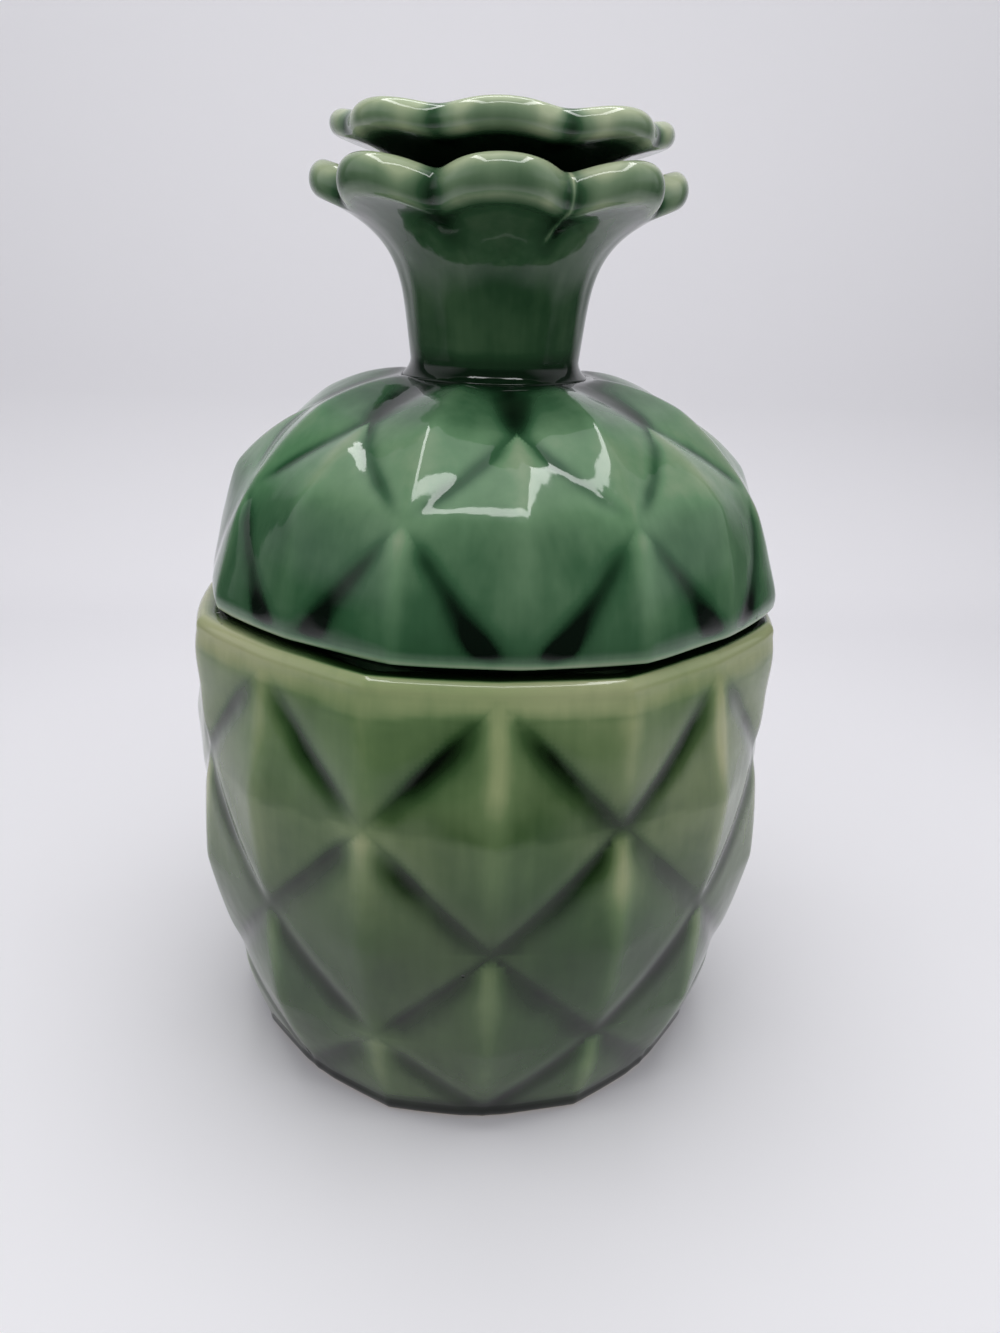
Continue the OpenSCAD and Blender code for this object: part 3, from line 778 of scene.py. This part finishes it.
crown_columns = SIDES * 56
fillet_width, fillet_height, spigot_wall = 2.6, 4, 3.5
slim = seat_height + fillet_height
neck_rows = [seamed(rolled(a, lower_tips, lower_notch, lower_lip, lower_tall, lower_edge, 0.1))
             for a in range(100, -81, -10)]
neck_rows += [seamed(leaf(s / 36, lower_tips, lower_notch, lower_lip, neck_radius, slim, lower_edge, 0.8))
              for s in range(35, -1, -1)]
flare_end = len(neck_rows) - 3
neck_rows += [circle(neck_radius + fillet_width * (1 - t) ** 2, mix(seat_height - 0.2, slim, t), 0.85)
              for t in (0.75, 0.5, 0.3, 0.15, 0)]
neck_rows += [circle(spigot_radius, seat_height), circle(spigot_radius, seat_height - spigot_depth),
              circle(spigot_radius - spigot_wall, seat_height - spigot_depth),
              circle(spigot_radius - spigot_wall, seat_height + 4),
              circle(bore_radius, seat_height + 8), circle(bore_radius, ledge_height),
              circle(stem_radius + luting_gap, ledge_height), circle(stem_radius + luting_gap, throat_height),
              # painted shade: the mouth of the throat, under the upper leaves, is dark
              circle(mix(stem_radius, lower_notch, 0.2), throat_height + 0.3, 0.8),
              circle(mix(stem_radius, lower_notch, 0.45), throat_height + 1.5, 0.7)]
neck_mesh = spun(neck_rows, crown_columns, closed=True)
softened(neck_mesh, 0, flare_end, 2)
set_down(neck_mesh, lower_turn, neck_shift)
piece(neck_mesh, "glazed_neck", "lid", "crown_neck", leaf_glaze)

# %% [markdown]
# ## The upper leaves
# The upper tier is a smaller saucer of leaves on a round foot, set in the throat while the clay was
# leather-hard. It sits a little off: its right side sags, so each row leans more the further out it is.

# %% Rows of the upper leaves
def leaning(row, part, turn=0.0):
    """Turns a row, and tilts and shifts it by a part of the whole lean."""
    def place(a):
        p, depth = row(a)
        p = Matrix.Rotation(turn, 3, "Z") @ p
        return Vector((p.x + 0.4 * part, p.y, p.z - part * tan(upper_lean) * p.x)), depth
    return place


dish_depth = 5.9
dish = upper_edge + upper_tall - dish_depth
top_rows = [leaning(circle(r * upper_notch, dish + z, 0.55), 1)
            for r, z in ((0, -1.6), (0.15, -1.5), (0.3, -1.25), (0.45, -0.8), (0.6, 0.0), (0.75, 1.2))]
top_rows += [leaning(rolled(a, upper_tips, upper_notch, upper_lip, upper_tall, upper_edge, 0.22), 1, upper_turn)
             for a in range(120, -71, -10)]
# painted shade: the underside of the upper leaves is dark, in the gap between the tiers
top_rows += [leaning(leaf(s / 10, upper_tips, upper_notch, upper_lip, stem_radius, throat_height + 1,
                          upper_edge, 0.3, 0.85), s / 10, upper_turn) for s in range(9, 0, -1)]
leaf_end = len(top_rows) - 1
# painted shade: the stem below the upper leaves is dark too
top_rows += [circle(stem_radius, throat_height + 1, 0.8), circle(stem_radius, ledge_height + 0.2, 0.8),
             circle(0, ledge_height + 0.2, 0.8)]
top_mesh = spun(top_rows, crown_columns)
softened(top_mesh, 1, leaf_end, 2)
set_down(top_mesh, 0, neck_shift)
piece(top_mesh, "glazed_top_leaves", "lid", "crown_top", leaf_glaze)

# %% [markdown]
# ## Floor and backdrop
# The jar stands on a pale sheet that sweeps up behind it, as in a small photo tent. One profile line is
# extruded sideways: floor, a quarter round and a wall. The camera sees the paper pale all over. All other
# rays find it darker towards the viewer and to the sides, where a small sheet would end and the dim room
# begin, so that the glaze mirrors less of it and the lower facets keep their colour.

# %% Matt paper
def paper(name, near, wall, far):
    """Matt paper with painted shade low on the wall, and mirrored dimmer out of the picture."""
    finish = bpy.data.materials.new(name)
    finish.use_nodes = True
    tree = finish.node_tree
    shader = tree.nodes["Principled BSDF"]
    place = add(tree, "ShaderNodeSeparateXYZ", {0: add(tree, "ShaderNodeTexCoord").outputs["Object"]})
    ahead = add(tree, "ShaderNodeMapRange", {"Value": place.outputs["Y"], "From Min": -0.1, "From Max": -0.34})
    across = add(tree, "ShaderNodeMath", {0: place.outputs["X"]}, operation="ABSOLUTE")
    aside = add(tree, "ShaderNodeMapRange", {"Value": across.outputs[0], "From Min": 0.37, "From Max": 0.8})
    away = add(tree, "ShaderNodeMath", {0: ahead.outputs[0], 1: aside.outputs[0]}, operation="MAXIMUM")
    seen = add(tree, "ShaderNodeLightPath").outputs["Is Camera Ray"]
    mirrored = add(tree, "ShaderNodeMath", {0: 1.0, 1: seen}, operation="SUBTRACT")
    dim = add(tree, "ShaderNodeMath", {0: away.outputs[0], 1: mirrored.outputs[0]}, operation="MULTIPLY")
    # painted shade: greyer low on the wall, where less light reaches it
    rise = add(tree, "ShaderNodeMapRange", {"Value": place.outputs["Z"], "From Min": 0.01, "From Max": 0.38})
    upright = add(tree, "ShaderNodeValToRGB", {"Fac": rise.outputs[0]})
    upright.color_ramp.elements.new(0.3)
    for element, (spot, colour) in zip(upright.color_ramp.elements, ((0.0, near), (0.3, wall), (1.0, near))):
        element.position, element.color = spot, linear(colour)
    shade = add(tree, "ShaderNodeMix", {0: dim.outputs[0], 6: upright.outputs["Color"], 7: linear(far)},
                data_type="RGBA")
    tree.links.new(shade.outputs[2], shader.inputs["Base Color"])
    shader.inputs["Roughness"].default_value = 0.9
    shader.inputs["Specular IOR Level"].default_value = 0.1
    return finish


# %% The pale sweep
def sweep(front, back, bend, top, half_width):
    bm = bmesh.new()
    quarter_round = [(back + bend * sin(radians(a)), bend * (1 - cos(radians(a)))) for a in range(0, 91, 6)]
    points = [(front, 0), *quarter_round, (back + bend, top)]
    line = [bm.verts.new((-half_width, y, z)) for y, z in points]
    edges = [bm.edges.new(pair) for pair in zip(line, line[1:])]
    side = bmesh.ops.extrude_edge_only(bm, edges=edges)["geom"]
    moved = [v for v in side if isinstance(v, bmesh.types.BMVert)]
    bmesh.ops.translate(bm, verts=moved, vec=(2 * half_width, 0, 0))
    for face in bm.faces:
        face.smooth = True
    mesh = bpy.data.meshes.new("sweep")
    bm.to_mesh(mesh)
    bm.free()
    made = bpy.data.objects.new("sweep", mesh)
    bpy.context.collection.objects.link(made)
    return made


backdrop = sweep(front=-0.36, back=0.36, bend=0.14, top=1.4, half_width=1.2)
backdrop.data.materials.append(paper("pale_paper", "#F6F5F8", "#EAE9EC", "#4A4A4C"))
print("sweep: floor, bend and wall of pale paper")

# %% [markdown]
# ## Light and camera
# Soft light comes evenly from all round, as in a photo tent. What the glaze mirrors is another matter: the
# room in front is dim, so there the glaze shows its own colour. Pale walls behind and at the sides, above the
# horizon, and a pale ceiling veil the facets that face them, as the lit sheet does low down. A square of lamp
# strips overhead draws bright bars on the lid. The camera is close, a little above the lid, looking down, as
# a hand-held one would be.

# %% The tent that lights the jar, and the room that its glaze mirrors
world = bpy.data.worlds.new("tent")
world.use_nodes = True
bpy.context.scene.world = world
tree = world.node_tree
facing = add(tree, "ShaderNodeTexCoord").outputs["Generated"]
rays = add(tree, "ShaderNodeLightPath").outputs
ahead = add(tree, "ShaderNodeVectorMath", {0: facing, 1: (0.0, -0.92, -0.39)}, operation="DOT_PRODUCT")
dim = add(tree, "ShaderNodeMapRange", {"Value": ahead.outputs["Value"], "From Min": -0.95, "From Max": -0.15})
room = add(tree, "ShaderNodeMix", {0: dim.outputs[0], 6: linear("#D8D8DC"), 7: linear("#2A2A2C")},
           data_type="RGBA")
way = add(tree, "ShaderNodeSeparateXYZ", {0: facing})
across = add(tree, "ShaderNodeMath", {0: way.outputs["X"]}, operation="ABSOLUTE")
aside = add(tree, "ShaderNodeMapRange", {"Value": across.outputs[0], "From Min": 0.6, "From Max": 0.9})
upper = add(tree, "ShaderNodeMapRange", {"Value": way.outputs["Z"], "From Min": 0.0, "From Max": 0.2})
side_walls = add(tree, "ShaderNodeMath", {0: aside.outputs[0], 1: upper.outputs[0]}, operation="MULTIPLY")
walls = add(tree, "ShaderNodeMix", {0: side_walls.outputs[0], 6: room.outputs[2], 7: linear("#BCBCC0")},
            data_type="RGBA")
high = add(tree, "ShaderNodeMapRange", {"Value": way.outputs["Z"], "From Min": 0.8, "From Max": 0.98})
ceiling = add(tree, "ShaderNodeMix", {0: high.outputs[0], 6: walls.outputs[2], 7: linear("#F4F4F8")},
              data_type="RGBA")
light = add(tree, "ShaderNodeMix", {0: rays["Is Glossy Ray"], 6: linear("#DDDDE0"), 7: ceiling.outputs[2]},
            data_type="RGBA")
sky = add(tree, "ShaderNodeMix", {0: rays["Is Camera Ray"], 6: light.outputs[2], 7: linear("#DDDDE1")},
          data_type="RGBA")
tree.links.new(sky.outputs[2], tree.nodes["Background"].inputs["Color"])
tree.nodes["Background"].inputs["Strength"].default_value = 1.0
print("world: an even tent for light, a dim room for mirror images")


# %% Lamp strips
def lamp(name, size, power, location, turn):
    light = bpy.data.lights.new(name, "AREA")
    light.shape = "RECTANGLE"
    light.size, light.size_y = size
    light.energy = power
    made = bpy.data.objects.new(name, light)
    made.location = location
    made.rotation_euler = turn
    bpy.context.collection.objects.link(made)


strip_count, strip_width, strip_power = 4, 0.044, 0.27
strip_height, strip_square, strip_middle = 0.52, 0.30, Vector((0, -0.04, 0))
for i in range(strip_count):
    place = Matrix.Rotation(i * pi / 2, 3, "Z") @ Vector((0, -strip_square / 2, strip_height)) + strip_middle
    lamp(f"strip_{i}", (strip_square, strip_width), strip_power, place, (0, 0, i * pi / 2))
print(f"{strip_count} strips of light, {strip_height} m up")

# %% Camera
IMAGE_LONG, FOCAL_PX, SENSOR = 1333, 1090, 36.0
camera_place = (-0.0146, -0.3010, 0.2233)
looks_down, looks_right, rolls = 20.98, 3.74, 1.9  # degrees
lens = bpy.data.cameras.new("camera")
lens.sensor_width = SENSOR
lens.lens = SENSOR * FOCAL_PX / IMAGE_LONG
lens.clip_start = 0.01
camera = bpy.data.objects.new("camera", lens)
bpy.context.collection.objects.link(camera)
aim = Euler((radians(90 - looks_down), 0, radians(-looks_right))).to_matrix().to_4x4()
roll = Matrix.Rotation(radians(rolls), 4, "Z")
camera.matrix_world = Matrix.Translation(camera_place) @ aim @ roll
bpy.context.scene.camera = camera
bpy.context.scene.view_settings.view_transform = "Standard"
print(f"camera with a {lens.lens:.1f} mm lens")
